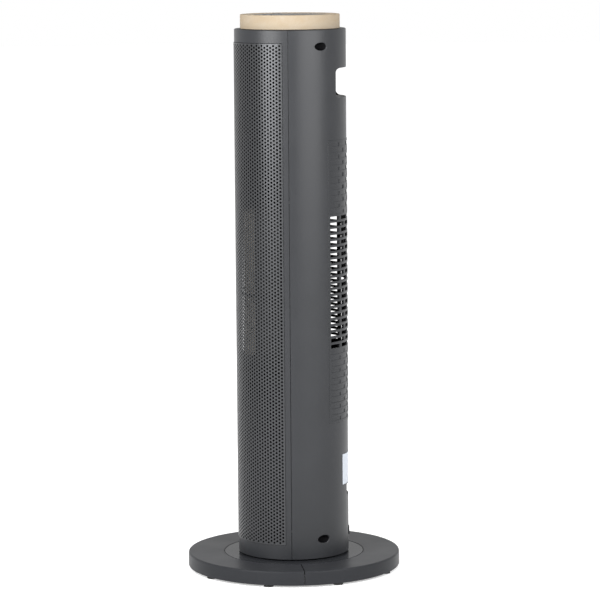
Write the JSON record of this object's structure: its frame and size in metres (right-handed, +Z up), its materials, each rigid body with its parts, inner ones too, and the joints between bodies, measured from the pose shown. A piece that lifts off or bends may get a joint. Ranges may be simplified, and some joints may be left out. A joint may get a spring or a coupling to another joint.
{
  "type": "tower fan heater",
  "caption": "Slim round tower heater that swings on a disc foot: perforated metal front, slotted back with hand grip and rocker switch, wooden top ring around a key panel.",
  "frame": {"origin": "on the floor, in the middle of the round foot, on the tower's axis", "axes": "+Z up along the tower, -Y out of the grille, +Y out of the hand grip, +X out of the tower's left side"},
  "size_m": [0.24, 0.24, 0.6269],
  "materials": {
    "housing": "satin",
    "foot": "polished",
    "rubber": "matte",
    "grille": "satin",
    "wood": "satin",
    "panel": "polished",
    "keys": "satin",
    "label": "smooth",
    "inner": "matte",
    "nylon": "smooth",
    "steel": "satin",
    "board": "smooth",
    "ceramic": "ceramic",
    "fins": "satin",
    "switch": "smooth"
  },
  "bodies": {
    "base": {"base_front_half": "foot", "base_rear_half": "foot", "base_feet": "rubber", "pivot_plate": "foot", "glide_pads": "nylon", "base_screws": "steel", "swing_sector": "nylon", "sector_screws": "steel"},
    "tower": {"swing_motor": "steel", "swing_motor_screws": "steel", "bottom_plate": "inner", "bottom_screws": "steel", "front_shell": "housing", "front_grille": "grille", "rear_shell": "housing", "shell_screws": "steel", "grip_cup": "housing", "blank_label": "label", "cord_bush": "rubber", "switch_bezel": "switch", "wood_cap": "wood", "cap_screws": "steel", "control_tray": "inner", "control_board": "board", "display_module": "panel", "control_panel": "panel", "display_window": "panel", "blower_floor": "inner", "blower_roof": "inner", "impeller_bearing": "nylon", "fan_motor": "steel", "motor_screws": "steel", "blower_scroll": "inner", "heater_frame": "ceramic", "heater_bars": "ceramic", "heater_fins": "fins", "thermal_cutout": "ceramic", "board_carrier": "inner", "power_board": "board", "terminal_block": "nylon", "tilt_switch": "inner"},
    "pinion": {"swing_pinion": "nylon"},
    "rotor": {"impeller": "inner", "impeller_shaft": "steel"},
    "rocker": {"switch_rocker": "switch"},
    "timer_push": {"timer_key": "keys"},
    "minus_push": {"minus_key": "keys"},
    "power_push": {"power_key": "keys"},
    "plus_push": {"plus_key": "keys"},
    "mode_push": {"mode_key": "keys"}
  },
  "joints": [
    {"name": "tower_swing", "type": "hinge", "parent": "base", "child": "tower", "pos_m": [0, 0, 0.0192], "axis": [0, 0, 1], "range_deg": [-28.7, 41.3]},
    {"name": "pinion_spin", "type": "hinge", "parent": "tower", "child": "pinion", "pos_m": [0, -0.0376, 0.0332], "axis": [0, 0, 1], "range_deg": [-115, 166]},
    {"name": "impeller_spin", "type": "hinge", "parent": "tower", "child": "rotor", "pos_m": [0, 0.006, 0.329], "axis": [0, 0, 1], "continuous": true},
    {"name": "rocker_tilt", "type": "hinge", "parent": "tower", "child": "rocker", "pos_m": [0, 0.0567, 0.09005], "axis": [0, 0, 1], "range_deg": [0, 16]},
    {"name": "timer_press", "type": "slide", "parent": "tower", "child": "timer_push", "axis": [0, 0, -1], "range_m": [0, 0.0008], "stiffness_N_per_m": 500},
    {"name": "minus_press", "type": "slide", "parent": "tower", "child": "minus_push", "axis": [0, 0, -1], "range_m": [0, 0.0008], "stiffness_N_per_m": 500},
    {"name": "power_press", "type": "slide", "parent": "tower", "child": "power_push", "axis": [0, 0, -1], "range_m": [0, 0.0008], "stiffness_N_per_m": 500},
    {"name": "plus_press", "type": "slide", "parent": "tower", "child": "plus_push", "axis": [0, 0, -1], "range_m": [0, 0.0008], "stiffness_N_per_m": 500},
    {"name": "mode_press", "type": "slide", "parent": "tower", "child": "mode_push", "axis": [0, 0, -1], "range_m": [0, 0.0008], "stiffness_N_per_m": 500}
  ],
  "couplings": [
    {"joint": "pinion_spin", "follows": "tower_swing", "ratio": 4}
  ]
}
